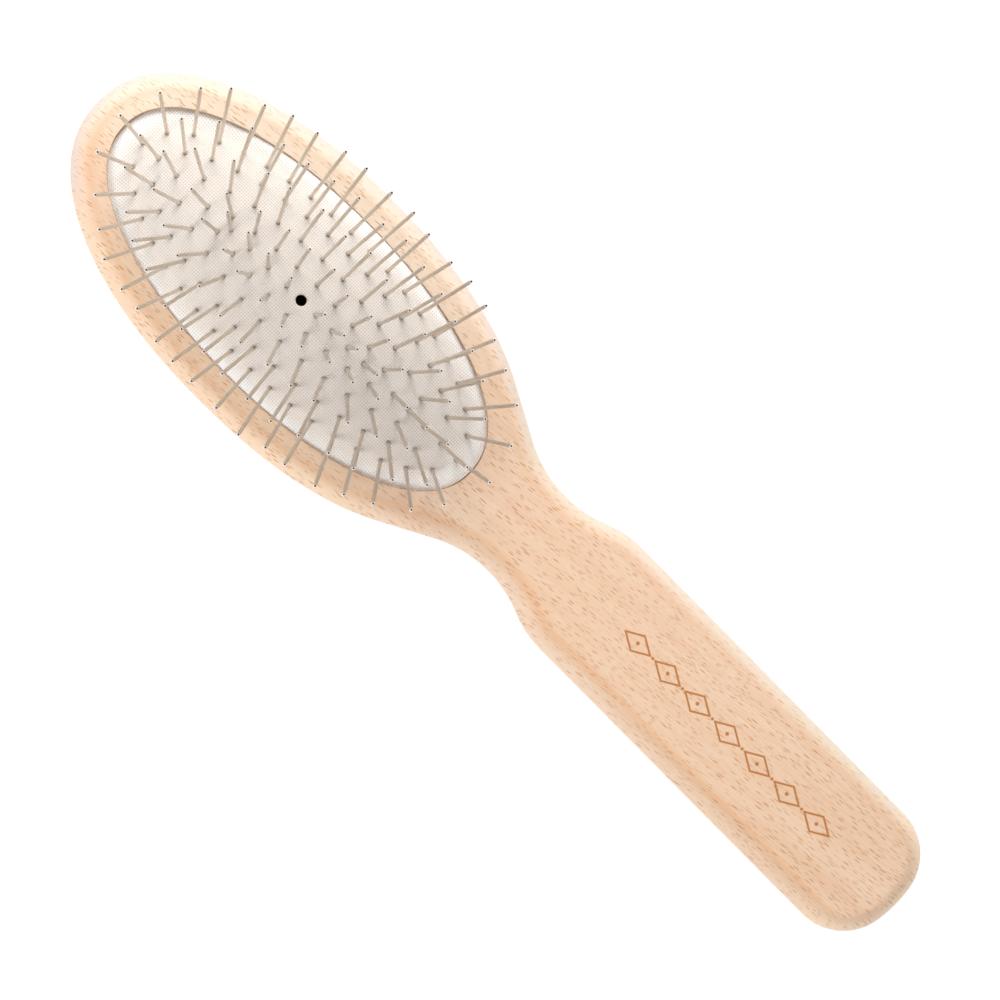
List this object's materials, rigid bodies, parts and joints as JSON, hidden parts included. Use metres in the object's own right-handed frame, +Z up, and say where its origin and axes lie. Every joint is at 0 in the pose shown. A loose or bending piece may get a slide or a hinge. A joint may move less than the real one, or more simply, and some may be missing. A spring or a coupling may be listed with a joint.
{
  "type": "pin brush",
  "caption": "Oval grooming brush for dogs and cats: flat beech body with a slim neck and handle, a domed cloth-faced rubber cushion and rings of round-tipped steel pins.",
  "frame": {"origin": "middle of the whole brush, on the flat back that it lies on", "axes": "+X along the brush from the head to the handle, +Y across it, +Z up out of the cushion, the way the pins point"},
  "size_m": [0.235, 0.058, 0.0441],
  "materials": {
    "beech": "satin waxed beech, pale, with short brown flecks along the grain",
    "cushion_cloth": "matt off-white plain weave bonded to a rubber sheet",
    "pin_steel": "polished steel wire with rounded ends"
  },
  "bodies": {
    "root": {"brush_body": "beech", "cushion": "cushion_cloth", "pins_outer_ring": "pin_steel", "pins_second_ring": "pin_steel", "pins_third_ring": "pin_steel", "pins_inner_ring": "pin_steel", "pins_middle_row": "pin_steel"}
  },
  "joints": []
}
